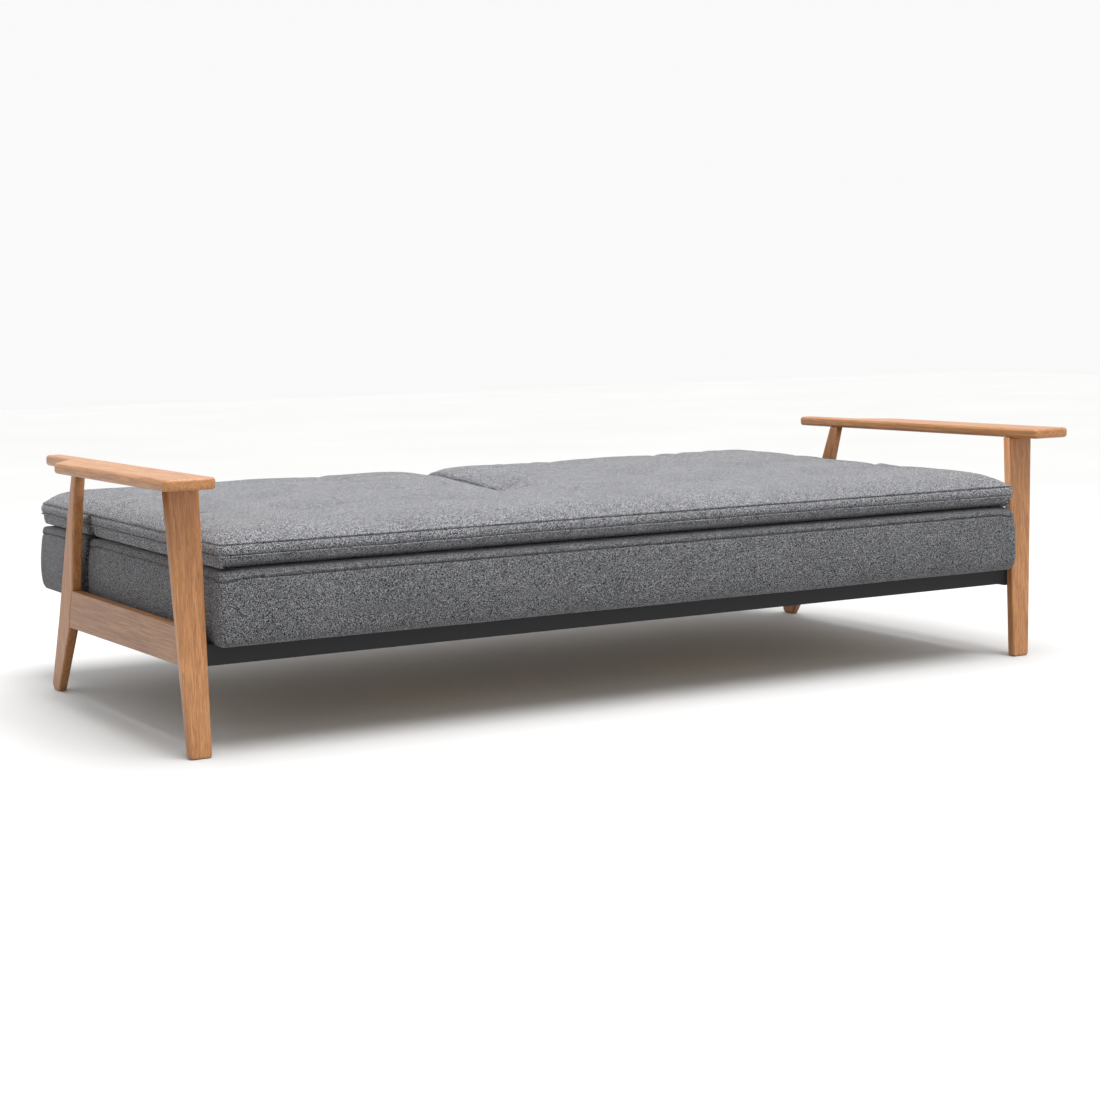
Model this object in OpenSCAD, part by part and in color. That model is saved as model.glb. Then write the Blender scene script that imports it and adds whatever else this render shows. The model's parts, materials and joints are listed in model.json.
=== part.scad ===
// Three-seat sofa bed, folded flat, on two open oak arm frames.
// X runs along the length, +Y towards the back, +Z up. Units are millimetres.
// The origin is on the floor under the middle of the bed.
// The back is split into two halves, and each half hinges up about the fold line.

/* [Arm frames] */
// Distance between the inner faces of the two arm frames
inner_span = 2150; // [2140:1:2200]
// Height of the underside of the armrests at the front
arm_underside = 548; // [520:1:570]
// How far the armrests drop from their front end to their rear tip
arm_drop = 7; // [0:1:12]
// Thickness of the armrest boards
arm_thickness = 24; // [20:1:30]
// Front end of the armrests
arm_front_y = -596; // [-610:1:-580]
// Width of an armrest at its front end
arm_front_width = 110; // [95:1:120]
// Width of an armrest at the back of its broad part
arm_broad_width = 114; // [100:1:130]
// Where the broad part of an armrest ends
arm_broad_end_y = 72; // [50:1:90]
// Width of the narrow tail of an armrest at the notch
arm_tail_width = 50; // [45:1:60]
// Width of the narrow tail at its rear tip
arm_tip_width = 42; // [38:1:50]
// Where the notch of an armrest ends
arm_notch_y = 160; // [145:1:170]
// Rear tip of the armrests
arm_tip_y = 345; // [320:1:360]

/* [Legs and side rails] */
// Width of a front leg at the top
front_leg_top_width = 73; // [60:1:80]
// Width of a front leg at the floor
front_leg_foot_width = 48; // [35:1:50]
// Thickness of a front leg, front to back
front_leg_depth = 24; // [20:1:30]
// Front face of a front leg at the top
front_leg_top_y = -503; // [-530:1:-495]
// How far a front foot stands ahead of the top
front_leg_rake = 27; // [0:1:50]
// Thickness of the rear legs and side rails along X
side_board = 25; // [20:1:30]
// Thickness of a rear foot along X
rear_foot_width = 20; // [16:1:25]
// Underside of the side rails
side_rail_low = 167; // [150:1:180]
// Height of the side rail's lower edge at the front leg
side_rail_front_low = 177; // [167:1:185]
// Top of the side rails
side_rail_high = 256; // [240:1:270]

/* [Steel frame] */
// Underside of the two cross rails
cross_rail_low = 182; // [175:1:195]
// Top of the two cross rails
cross_rail_high = 226; // [215:0.5:226]
// Depth of the cross rails, front to back
cross_rail_depth = 25; // [20:1:30]
// Front face of the front cross rail
front_rail_y = -499; // [-505:1:-490]
// Front face of the rear cross rail
rear_rail_y = 187; // [182:1:190]

/* [Mattress boxes] */
// Length of the upholstered boxes along X
box_length = 2116; // [2090:1:2124]
// Underside of the boxes
box_low = 226.5; // [226.5:0.5:230]
// Top of the boxes
box_high = 377.5; // [377:0.5:378]
// Front face of the seat box
box_front_y = -555; // [-560:1:-545]
// Rear face of the back boxes
box_rear_y = 595; // [570:1:600]
// Gap between the two back boxes
back_split = 10; // [8:1:14]

/* [Topper] */
// Length of the topper along X
topper_length = 2108; // [2080:1:2116]
// Underside of the topper
topper_low = 378.5; // [378.5:0.5:380]
// Top of the topper
topper_high = 458; // [430:0.5:465]
// How far the topper is set back from the box at the front and rear
topper_inset = 9; // [4:1:20]
// Width of the slit between the two back toppers
slit = 8; // [6:1:12]

/* [Fold] */
// Position of the fold line, front to back
fold_y = 245; // [238:1:250]
// Height of the hinge line
hinge_z = 362.5; // [361:0.5:363]
// Radius of the hinge pins
pin_r = 5; // [4:0.5:6]
// Running clearance of the hinge pins
pin_clearance = 0.05; // [0.02:0.01:0.09]

/* [Hidden] */
$fn = 48;
inner_x = inner_span / 2;
arm_slope = arm_drop / (arm_tip_y - arm_front_y);
box_x = box_length / 2;
fold_gap = 4;
shoulder_r = 15;
box_edge_r = 14;
topper_edge_r = 18;
groove_low = 13;
groove_high = 71;
plate_t = 4;
plate_gap = 1;
eye_r = 13;
slot_half = 12;
slot_depth = 64;
back_slot_depth = 98;
outer_hinge_x = 1034;
tube = 25;
tube_low = 192;
board_low = 217;
stud_r = 4;
stud_y = fold_y - 10.3;
stud_z = 302;
tube_wall = 2;
inner_plate_x = plate_t + plate_gap;
outer_plate_x = outer_hinge_x - plate_t - plate_gap;
inner_tube_x = inner_plate_x + plate_t / 2;
outer_tube_x = outer_plate_x - plate_t / 2 - tube;
back_frame_front = fold_y + 14;
back_frame_rear = box_rear_y - 150;
flange_half = 8;
dowel_r = 5;
dowel_length = 28;
bolt_r = 4;
bolt_head_r = 7;
end_plate_low = 177;
end_plate_high = 250;
end_plate_length = 92;
oak = [0.77, 0.57, 0.39];
oak_dark = [0.70, 0.50, 0.33];
steel_black = [0.13, 0.13, 0.15];
grey_cloth = [0.40, 0.40, 0.42];
grey_cloth_light = [0.46, 0.46, 0.48];
plain_steel = [0.62, 0.63, 0.65];
board_wood = [0.72, 0.60, 0.44];

// One arc of a plan or side outline, from angle a to angle b
function arc(c, r, a, b, n = 6) = [for (i = [0:n]) [c[0] + r * cos(a + (b - a) * i / n),
                                                   c[1] + r * sin(a + (b - a) * i / n)]];

// A rectangle with round corners, from low corner to high corner
module round_rect(low, high, r) {
    translate([low[0] + r, low[1]])
        square([high[0] - low[0] - 2 * r, high[1] - low[1]]);
    translate([low[0], low[1] + r])
        square([high[0] - low[0], high[1] - low[1] - 2 * r]);
    for (x = [low[0] + r, high[0] - r])
        for (y = [low[1] + r, high[1] - r])
            translate([x, y])
                circle(r = r);
}

// Turns a drawing in (y, z) into a board of thickness t that starts at x
module along_x(x, t) {
    translate([x, 0, 0])
        rotate([90, 0, 90])
            linear_extrude(height = t)
                children();
}

// Turns a drawing in (x, z) into a board of thickness t that starts at y
module along_y(y, t) {
    translate([0, y + t, 0])
        rotate([90, 0, 0])
            linear_extrude(height = t)
                children();
}

// Puts the right-hand copy of a piece on the left when side is -1
module on_side(side) {
    if (side < 0)
        mirror([1, 0, 0])
            children();
    else
        children();
}

// ---- oak arm frames ----

// Plan of the right armrest: straight inside, notched outside behind the broad part
module armrest_plan() {
    broad = inner_x + arm_broad_width;
    front = inner_x + arm_front_width;
    tail = inner_x + arm_tail_width;
    tip = inner_x + arm_tip_width;
    polygon(concat(
        arc([inner_x + 8, arm_front_y + 8], 8, 180, 270),
        arc([front - 14, arm_front_y + 14], 14, 270, 358),
        arc([broad - 16, arm_broad_end_y - 16], 16, 0, 52),
        arc([tail + 16, arm_notch_y + 4], 16, 232, 180),
        arc([tip - 14, arm_tip_y - 14], 14, 2, 90),
        arc([inner_x + 10, arm_tip_y - 10], 10, 90, 180)));
}

// Underside of the armrests at y
function arm_low(y) = arm_underside - arm_slope * (y - arm_front_y);

module armrest(side) {
    round_r = 7;
    color(oak)
        on_side(side)
            difference() {
                intersection() {
                    translate([0, 0, arm_underside - 50])
                        linear_extrude(height = 100)
                            armrest_plan();
                    along_x(inner_x, arm_broad_width + 20)
                        translate([arm_front_y, arm_underside])
                            rotate(-atan(arm_slope))
                                round_rect([0, 0], [arm_tip_y - arm_front_y, arm_thickness], round_r);
                }
                dowel_holes();
            }
}

// Outline of a front leg seen from the front, and from the side
module front_leg_front_view() {
    polygon([[inner_x, 0], [inner_x + front_leg_foot_width - 3, 0],
             [inner_x + front_leg_foot_width, 3],
             [inner_x + front_leg_top_width, arm_underside], [inner_x, arm_underside]]);
}

module front_leg_side_view() {
    foot = front_leg_top_y - front_leg_rake;
    polygon([[foot + 3, 0], [foot + front_leg_depth - 3, 0], [foot + front_leg_depth, 3],
             [front_leg_top_y + front_leg_depth, arm_low(front_leg_top_y + front_leg_depth)],
             [front_leg_top_y, arm_low(front_leg_top_y)], [foot, 3]]);
}

module front_leg(side) {
    color(oak)
        on_side(side)
            difference() {
                intersection() {
                    along_y(-600, 200)
                        front_leg_front_view();
                    along_x(inner_x, front_leg_top_width)
                        front_leg_side_view();
                }
                dowel_holes();
                end_plate_bolt_holes();
            }
}

// Side outline of a rear leg: leans back to a knee at the rail, then kicks out to the foot
module rear_leg_side_view() {
    polygon([[178, arm_low(178)], [207, arm_low(207)], [250, 437], [283, 340], [304, 280],
             [325, 225], [346, 165], [373, 110], [424, 10], [423, 3], [417, 0], [388, 0],
             [381, 5], [348, 50], [310, 104], [284, 142], [266, side_rail_low],
             [236, side_rail_high], [238, 286], [224, 360], [209, 437]]);
}

module rear_leg(side) {
    color(oak)
        on_side(side)
            difference() {
                intersection() {
                    along_x(inner_x, side_board)
                        rear_leg_side_view();
                    along_y(0, 500)
                        polygon([[inner_x, 0], [inner_x + rear_foot_width, 0],
                                 [inner_x + side_board, 120],
                                 [inner_x + side_board, arm_underside],
                                 [inner_x, arm_underside]]);
                }
                dowel_holes();
            }
}

// Rear face of the front leg at height z
leg_back_y = front_leg_top_y + front_leg_depth;
leg_back_top = arm_low(leg_back_y);
function leg_back(z) = leg_back_y - front_leg_rake * (leg_back_top - z) / (leg_back_top - 3);

module side_rail(side) {
    color(oak_dark)
        on_side(side)
            difference() {
                along_x(inner_x, side_board)
                    polygon([[leg_back(side_rail_high), side_rail_high],
                             [leg_back(side_rail_front_low), side_rail_front_low],
                             [266, side_rail_low], [236, side_rail_high]]);
                end_plate_bolt_holes();
            }
}

// Dowels between armrest and legs, at the same places for the pegs and for their holes
module dowel_places() {
    for (p = [[inner_x + 18, front_leg_top_y + 12], [inner_x + 48, front_leg_top_y + 12],
              [inner_x + 12.5, 192]])
        translate([p[0], p[1], arm_low(p[1]) - dowel_length / 2])
            children();
}

module dowel_holes() {
    dowel_places()
        translate([0, 0, -0.5])
            cylinder(r = dowel_r + pin_clearance, h = dowel_length + 1);
}

module arm_dowels() {
    color(board_wood)
        for (side = [-1, 1])
            on_side(side)
                dowel_places()
                    cylinder(r = dowel_r, h = dowel_length);
}

// ---- steel frame under the seat ----

// A square-edged steel tube between two corners, open at the ends of the named axis
module steel_tube(low, high, axis) {
    inset = [for (i = [0:2]) i == axis ? -1 : tube_wall];
    color(steel_black)
        difference() {
            translate(low)
                cube(high - low);
            translate(low + inset)
                cube(high - low - 2 * inset);
        }
}

module cross_rail(y) {
    half = inner_x - plate_t;
    steel_tube([-half, y, cross_rail_low], [half, y + cross_rail_depth, cross_rail_high], 0);
}

// Left edge of an end plate on the front and on the rear cross rail
function end_plate_y(rear) = rear ? rear_rail_y - 33 : front_rail_y - 1;

module end_plate_bolt_places() {
    for (p = [[end_plate_y(false) + 48, 232], [end_plate_y(false) + 78, 202],
              [end_plate_y(true) + 12, 202], [end_plate_y(true) + 68, 232]])
        translate([inner_x, p[0], p[1]])
            rotate([0, 90, 0])
                children();
}

module end_plate_bolt_holes() {
    end_plate_bolt_places()
        translate([0, 0, -plate_t - 1])
            cylinder(r = bolt_r + pin_clearance, h = plate_t + 21.5);
}

module end_plate(side, rear) {
    color(steel_black)
        on_side(side)
            difference() {
                along_x(inner_x - plate_t, plate_t)
                    round_rect([end_plate_y(rear), end_plate_low],
                               [end_plate_y(rear) + end_plate_length, end_plate_high], 6);
                end_plate_bolt_holes();
            }
}

module end_plate_bolts() {
    color(plain_steel)
        for (side = [-1, 1])
            on_side(side)
                end_plate_bolt_places() {
                    translate([0, 0, -plate_t - 4])
                        cylinder(r = bolt_head_r, h = 4);
                    translate([0, 0, -plate_t - 0.1])
                        cylinder(r = bolt_r, h = plate_t + 20.1);
                }
}

module seat_bearer(x) {
    low_y = front_rail_y + cross_rail_depth;
    steel_tube([x - tube / 2, low_y, tube_low], [x + tube / 2, rear_rail_y, board_low], 1);
}

module seat_board() {
    low_y = front_rail_y + cross_rail_depth + 1;
    color(board_wood)
        translate([-1010, low_y, board_low])
            cube([2020, rear_rail_y - 2 - low_y, cross_rail_high - board_low]);
}

// ---- hinges ----

module fixed_plate(x) {
    color(steel_black) {
        difference() {
            union() {
                along_x(x - plate_t / 2, plate_t) {
                    polygon([[rear_rail_y, cross_rail_high], [rear_rail_y + 30, cross_rail_high],
                             [fold_y + 2, hinge_z - 40], [fold_y + 12, hinge_z - 4],
                             [fold_y - 12, hinge_z + 5]]);
                    translate([fold_y, hinge_z])
                        circle(r = eye_r);
                }
                translate([x - flange_half, rear_rail_y, cross_rail_high])
                    cube([2 * flange_half, cross_rail_depth, plate_t]);
            }
            along_x(x - 20, 40) {
                translate([fold_y, hinge_z])
                    circle(r = pin_r);
                translate([stud_y, stud_z])
                    circle(r = stud_r);
            }
        }
    }
}

// Hinge pin from x = a to x = b, with a flat head outside each end
module hinge_pin(a, b) {
    color(plain_steel) {
        along_x(a, b - a)
            translate([fold_y, hinge_z])
                circle(r = pin_r);
        for (x = [a - 1.5, b - 1.5])
            along_x(x, 3)
                translate([fold_y, hinge_z])
                    circle(r = pin_r + 3);
    }
}

// Stud that the moving plate leans on when the back lies flat
module stop_stud(a, b) {
    color(plain_steel)
        along_x(a, b - a)
            translate([stud_y, stud_z])
                circle(r = stud_r);
}

module moving_plate(x) {
    color(steel_black)
        difference() {
            along_x(x - plate_t / 2, plate_t) {
                polygon([[fold_y - 6, tube_low], [fold_y + 82, tube_low], [fold_y + 82, board_low],
                         [fold_y + 32, hinge_z - 60], [fold_y + 12, hinge_z - 4],
                         [fold_y - 6, hinge_z - 4]]);
                translate([fold_y, hinge_z])
                    circle(r = eye_r);
            }
            along_x(x - 20, 40)
                translate([fold_y, hinge_z])
                    circle(r = pin_r + pin_clearance);
        }
}

// ---- upholstery ----

// Slot for a hinge, through the whole height of a box
module hinge_slot(x, y, depth) {
    translate([x - slot_half, y, box_low - 1])
        cube([2 * slot_half, depth, box_high - box_low + 2]);
}

// A padded box between two ends in X, with its side outline given as the child
module padded_box(x_low, x_high, y_low, y_high) {
    intersection() {
        along_x(x_low, x_high - x_low)
            children();
        along_y(y_low, y_high - y_low)
            round_rect([x_low, box_low], [x_high, box_high], box_edge_r);
        translate([0, 0, box_low])
            linear_extrude(height = box_high - box_low)
                round_rect([x_low, y_low], [x_high, y_high], box_edge_r);
    }
}

module seat_box() {
    rear = fold_y - fold_gap;
    color(grey_cloth)
        difference() {
            padded_box(-box_x, box_x, box_front_y, rear) {
                round_rect([box_front_y, box_low], [rear, box_high], shoulder_r);
                translate([box_front_y + 100, box_low])
                    square([rear - box_front_y - 100, 60]);
            }
            for (x = [-outer_hinge_x + 3, 0, outer_hinge_x - 3])
                hinge_slot(x, rear - slot_depth, slot_depth + 10);
        }
}

module back_box(side) {
    front = fold_y + fold_gap;
    inner = back_split / 2;
    color(grey_cloth)
        on_side(side)
            difference() {
                padded_box(inner, box_x, front, box_rear_y) {
                    round_rect([front, box_low], [box_rear_y, box_high], shoulder_r);
                    translate([front, box_low])
                        square([60, 60]);
                }
                for (x = [0, outer_hinge_x - 3])
                    hinge_slot(x, front - 20, back_slot_depth);
            }
}

// Side outline of a topper block from its squared end to the bevelled end at the fold
module topper_outline(end_y, toward) {
    bevel_low = fold_y - toward * groove_low;
    bevel_high = fold_y - toward * groove_high;
    r = topper_edge_r;
    polygon(concat(
        [[bevel_high, topper_high], [bevel_low, topper_low]],
        toward > 0
            ? concat(arc([end_y + r, topper_low + r], r, 270, 180),
                     arc([end_y + r, topper_high - r], r, 180, 90))
            : concat(arc([end_y - r, topper_low + r], r, -90, 0),
                     arc([end_y - r, topper_high - r], r, 0, 90))));
}

module seat_topper() {
    half = topper_length / 2;
    color(grey_cloth_light)
        intersection() {
            along_x(-half, topper_length)
                topper_outline(box_front_y + topper_inset, 1);
            along_y(box_front_y, 800)
                round_rect([-half, topper_low], [half, topper_high], topper_edge_r);
        }
}

module back_topper(side) {
    half = topper_length / 2;
    color(grey_cloth_light)
        on_side(side)
            intersection() {
                along_x(slit / 2, half - slit / 2)
                    topper_outline(box_rear_y - topper_inset, -1);
                along_y(fold_y, 800)
                    round_rect([slit / 2, topper_low], [half, topper_high], topper_edge_r);
            }
}

// ---- frame under each back half ----

module back_board(side) {
    color(board_wood)
        on_side(side)
            translate([16, back_frame_front, board_low])
                cube([1004, box_rear_y - 40 - back_frame_front, cross_rail_high - board_low]);
}

module back_tube(side, x) {
    on_side(side)
        steel_tube([x, back_frame_front, tube_low], [x + tube, back_frame_rear, board_low], 1);
}

module back_tube_rear(side) {
    on_side(side)
        steel_tube([inner_tube_x, back_frame_rear, tube_low],
                   [outer_tube_x + tube, back_frame_rear + tube, board_low], 0);
}

armrest(-1);  // armrest_left
armrest(1);  // armrest_right
front_leg(-1);  // front_leg_left
front_leg(1);  // front_leg_right
rear_leg(-1);  // rear_leg_left
rear_leg(1);  // rear_leg_right
side_rail(-1);  // side_rail_left
side_rail(1);  // side_rail_right
arm_dowels();
cross_rail(front_rail_y);  // front_cross_rail
cross_rail(rear_rail_y);  // rear_cross_rail
end_plate(-1, false);  // end_plate_front_left
end_plate(1, false);  // end_plate_front_right
end_plate(-1, true);  // end_plate_rear_left
end_plate(1, true);  // end_plate_rear_right
end_plate_bolts();
seat_bearer(-700);  // seat_bearer_left
seat_bearer(0);  // seat_bearer_middle
seat_bearer(700);  // seat_bearer_right
seat_board();
seat_box();
seat_topper();
fixed_plate(-outer_hinge_x);  // fixed_plate_left
fixed_plate(0);  // fixed_plate_middle
fixed_plate(outer_hinge_x);  // fixed_plate_right
hinge_pin(-outer_hinge_x - 4, -outer_hinge_x + 9);  // hinge_pin_left
hinge_pin(-9, 9);  // hinge_pin_middle
hinge_pin(outer_hinge_x - 9, outer_hinge_x + 4);  // hinge_pin_right
stop_stud(-outer_hinge_x - 2, -outer_hinge_x + 8);  // stop_stud_left
stop_stud(-8, 8);  // stop_stud_middle
stop_stud(outer_hinge_x - 8, outer_hinge_x + 2);  // stop_stud_right
back_box(-1);  // back_box_left
back_topper(-1);  // back_topper_left
back_board(-1);  // back_board_left
moving_plate(-outer_plate_x);  // moving_plate_left_outer
moving_plate(-inner_plate_x);  // moving_plate_left_inner
back_tube(-1, outer_tube_x);  // back_tube_left_outer
back_tube(-1, inner_tube_x);  // back_tube_left_inner
back_tube_rear(-1);  // back_tube_left_rear
back_box(1);  // back_box_right
back_topper(1);  // back_topper_right
back_board(1);  // back_board_right
moving_plate(outer_plate_x);  // moving_plate_right_outer
moving_plate(inner_plate_x);  // moving_plate_right_inner
back_tube(1, outer_tube_x);  // back_tube_right_outer
back_tube(1, inner_tube_x);  // back_tube_right_inner
back_tube_rear(1);  // back_tube_right_rear
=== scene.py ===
import json
import math

import bmesh
import bpy
import numpy as np
from mathutils import Matrix, Vector, noise


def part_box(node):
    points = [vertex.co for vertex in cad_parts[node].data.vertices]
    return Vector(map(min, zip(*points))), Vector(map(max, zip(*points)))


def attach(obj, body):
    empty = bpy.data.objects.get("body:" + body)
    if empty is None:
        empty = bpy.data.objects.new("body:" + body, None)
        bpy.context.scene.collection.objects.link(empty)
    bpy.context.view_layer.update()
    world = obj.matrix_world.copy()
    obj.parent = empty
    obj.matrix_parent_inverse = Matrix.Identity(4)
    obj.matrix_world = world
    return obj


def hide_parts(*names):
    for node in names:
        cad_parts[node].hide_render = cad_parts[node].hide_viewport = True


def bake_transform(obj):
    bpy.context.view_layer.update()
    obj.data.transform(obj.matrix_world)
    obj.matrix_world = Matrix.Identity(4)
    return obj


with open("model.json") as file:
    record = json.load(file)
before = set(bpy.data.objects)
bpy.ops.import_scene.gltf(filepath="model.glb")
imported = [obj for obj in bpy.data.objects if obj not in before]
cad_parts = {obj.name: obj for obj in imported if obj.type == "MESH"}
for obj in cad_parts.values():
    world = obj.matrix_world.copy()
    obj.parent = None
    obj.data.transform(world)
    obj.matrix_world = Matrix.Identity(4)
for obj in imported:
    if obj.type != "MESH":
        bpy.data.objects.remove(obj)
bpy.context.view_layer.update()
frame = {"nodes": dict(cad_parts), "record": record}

# ---- sizes shared with the frame, in metres ----

SEAT_LOW, SEAT_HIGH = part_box("seat_box")
BACK_LOW, BACK_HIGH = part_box("back_box_right")
TOPPER_LOW, TOPPER_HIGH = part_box("seat_topper")
TOPPER_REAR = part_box("back_topper_right")[1].y
ARM_LOW, ARM_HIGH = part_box("armrest_right")
FRONT_LEG_LOW, FRONT_LEG_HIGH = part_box("front_leg_right")
REAR_LEG_LOW, REAR_LEG_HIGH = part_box("rear_leg_right")
RAIL_LOW, RAIL_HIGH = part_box("side_rail_right")

INNER_X = ARM_LOW.x                      # inner face of the right arm frame
HINGE = Vector(frame["record"]["behaviour"]["joints"][0]["pos_m"])
FOLD_Y = HINGE.y

SEAM_Z = 0.431                           # stitched top edge of the topper
MID_SEAM_Z = 0.4060                      # second seam, halfway down the topper's edge
EDGE_LOW_Z = 0.3870                      # bottom of the topper's edge, clear of the box
TUFT_COLUMNS = (-0.70, -0.35, 0.0, 0.35, 0.70)
FRONT_TUFT_Y = -0.200
MIDDLE_TUFT_Y = 0.090
BACK_TUFT_Y = 0.415
TUFT_HALF = 0.030                        # half length of a tuft's stitched tuck
SLIT_END_Y = 0.172
SLIT_HALF = 0.0055
PINCH_Y = 0.229                          # where the topper's edge is pinched in at the fold
TOPPER_CORNER = 0.016                    # radius of the topper's corners, seen from above

SETTLING_FRAMES = 18                     # frames of cloth simulation for the topper's top
SETTLED_SHARE = 0.28                     # share of the simulated movement that is kept
STITCH = 0.0046                          # length of a stitch
BOX_PITCH = 0.0066                       # from one stitch to the next on the boxes
TOPPER_PITCH = 0.0062                    # and on the topper
THREAD_RADIUS = 0.0008
TUBE_EDGE = 0.0009                       # bevel of the steel tubes, under half their 2 mm wall
PLATE_EDGE = 0.0008                      # bevel of plates and boards
SIDES = ((-1, "left"), (1, "right"))


# ---- small helpers ----

def linked(name, data):
    obj = bpy.data.objects.new(name, data)
    bpy.context.collection.objects.link(obj)
    return obj


def new_object(name, verts, faces, material):
    mesh = bpy.data.meshes.new(name)
    mesh.from_pydata([tuple(v) for v in verts], [], [tuple(f) for f in faces])
    mesh.validate()
    mesh.polygons.foreach_set("use_smooth", [True] * len(mesh.polygons))
    mesh.materials.append(material)
    return linked(name, mesh)


def outward(obj):
    """Turns all faces to the outside."""
    work = bmesh.new()
    work.from_mesh(obj.data)
    bmesh.ops.recalc_face_normals(work, faces=work.faces)
    work.to_mesh(obj.data)
    work.free()
    return obj


def smoothstep(low, high, value):
    t = np.clip((value - low) / (high - low), 0.0, 1.0)
    return t * t * (3 - 2 * t)


def noise_at(points, size, seed):
    """Smooth noise between -1 and 1 at each point, with features of the given size."""
    shift = Vector((seed * 7.31, seed * 3.17, seed * 5.53))
    return np.array([noise.noise(Vector(p) / size + shift) for p in points])


def rounded_outline(corners, steps):
    """A closed outline from corners (u, v, radius), each corner turned on an arc."""
    points = []
    count = len(corners)
    for i, (u, v, radius) in enumerate(corners):
        here = Vector((u, v))
        back = (Vector(corners[i - 1][:2]) - here).normalized()
        ahead = (Vector(corners[(i + 1) % count][:2]) - here).normalized()
        angle = back.angle(ahead)
        if radius <= 0 or angle > math.pi - 0.02:
            points.append(here)
            continue
        reach = radius / math.tan(angle / 2)
        centre = here + (back + ahead).normalized() * (radius / math.sin(angle / 2))
        start = here + back * reach - centre
        end = here + ahead * reach - centre
        turn = start.angle_signed(end)
        for k in range(steps + 1):
            a = -turn * k / steps
            points.append(centre + Vector((start.x * math.cos(a) - start.y * math.sin(a),
                                           start.x * math.sin(a) + start.y * math.cos(a))))
    return points


def inset_outline(points, distance):
    """The outline moved inwards by a distance. The points run anticlockwise."""
    moved = []
    count = len(points)
    for i, here in enumerate(points):
        before = (here - points[i - 1]).normalized()
        after = (points[(i + 1) % count] - here).normalized()
        normal = Vector((-before.y - after.y, before.x + after.x)).normalized()
        side = Vector((-before.y, before.x))
        moved.append(here + normal * (distance / max(0.4, normal.dot(side))))
    return moved


def ring_faces(rings, size):
    """Faces of a closed form built of equal rings of points, from its underside to its top."""
    faces = [(r * size + i, r * size + (i + 1) % size,
              (r + 1) * size + (i + 1) % size, (r + 1) * size + i)
             for r in range(rings - 1) for i in range(size)]
    return faces + [tuple(range(size))[::-1], tuple(range((rings - 1) * size, rings * size))]


def rounded_slab(name, outline, low, high, radius, place, material):
    """A board cut to an outline, with all its edges rounded. place(u, v, w) gives the point in space."""
    steps = 5
    rim = 0.0015                         # flat border between the rounding and the face
    area = sum(a.x * b.y - b.x * a.y for a, b in zip(outline, outline[1:] + outline[:1]))
    if area < 0:
        outline = outline[::-1]
    arc = [math.pi / 2 * k / steps for k in range(steps + 1)]
    rings = [(radius + rim, low)]
    rings += [(radius * (1 - math.sin(a)), low + radius * (1 - math.cos(a))) for a in arc]
    rings += [(radius * (1 - math.cos(a)), high - radius * (1 - math.sin(a))) for a in arc]
    rings += [(radius + rim, high)]
    verts = [place(p.x, p.y, w) for inset, w in rings for p in inset_outline(outline, inset)]
    return outward(new_object(name, verts, ring_faces(len(rings), len(outline)), material))


def put(obj, body, slot, *nodes):
    """Hides the CAD nodes that a piece stands for and hangs the piece on the body that carries it. The
    slot argument is not used.
    """
    if nodes:
        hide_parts(*nodes)
    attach(obj, body)


def grey(value):
    return (value,) * 3


def toned(colour, tone):
    return tuple(c * tone for c in colour)


# ---- materials ----

class Nodes:
    """Short names for building a node material."""

    def __init__(self, name):
        self.material = bpy.data.materials.new(name)
        self.material.use_nodes = True
        self.tree = self.material.node_tree
        self.shader = self.tree.nodes["Principled BSDF"]

    def add(self, kind, **settings):
        node = self.tree.nodes.new(kind)
        for key, value in settings.items():
            if key.startswith("in_"):
                node.inputs[key[3:].replace("_", " ")].default_value = value
            else:
                setattr(node, key, value)
        return node

    def link(self, source, target):
        self.tree.links.new(source, target)

    def mapped(self, scale, location=(0, 0, 0)):
        coords = self.add("ShaderNodeTexCoord")
        mapping = self.add("ShaderNodeMapping")
        mapping.inputs["Scale"].default_value = scale
        mapping.inputs["Location"].default_value = location
        self.link(coords.outputs["Object"], mapping.inputs["Vector"])
        return mapping.outputs["Vector"]

    def noise(self, vector, scale, detail=2.0, rough=0.5, distortion=0.0):
        node = self.add("ShaderNodeTexNoise", in_Scale=scale, in_Detail=detail,
                        in_Roughness=rough, in_Distortion=distortion)
        self.link(vector, node.inputs["Vector"])
        return node.outputs["Fac"]

    def ramp(self, value, stops):
        node = self.add("ShaderNodeValToRGB")
        ramp = node.color_ramp
        while len(ramp.elements) < len(stops):
            ramp.elements.new(0.5)
        for element, (position, colour) in zip(ramp.elements, stops):
            element.position = position
            element.color = (*colour, 1)
        self.link(value, node.inputs["Fac"])
        return node.outputs["Color"]

    def math(self, operation, a, b=0.0):
        node = self.add("ShaderNodeMath", operation=operation)
        for socket, value in zip(node.inputs, (a, b)):
            if isinstance(value, (int, float)):
                socket.default_value = value
            else:
                self.link(value, socket)
        return node.outputs["Value"]

    def mix(self, factor, a, b, blend="MIX"):
        node = self.add("ShaderNodeMix", data_type="RGBA", blend_type=blend)
        for socket, value in zip((node.inputs["Factor"], node.inputs[6], node.inputs[7]),
                                 (factor, a, b)):
            if isinstance(value, (int, float)):
                socket.default_value = value
            elif isinstance(value, tuple):
                socket.default_value = (*value, 1)
            else:
                self.link(value, socket)
        return node.outputs[2]

    def bump(self, height, strength, distance):
        node = self.add("ShaderNodeBump", in_Strength=strength, in_Distance=distance)
        self.link(height, node.inputs["Height"])
        self.link(node.outputs["Normal"], self.shader.inputs["Normal"])

    def paint(self, value, socket="Base Color"):
        self.link(value, self.shader.inputs[socket])

    def surface(self, **values):
        """Numbers that are the same all over, set on the shader's own sockets."""
        for key, value in values.items():
            self.shader.inputs[key.replace("_", " ")].default_value = value


def grain_scale(axis, along, across):
    """Texture scale for a pattern stretched along one axis."""
    scale = [across] * 3
    scale["XYZ".index(axis)] = along
    return scale


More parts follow.
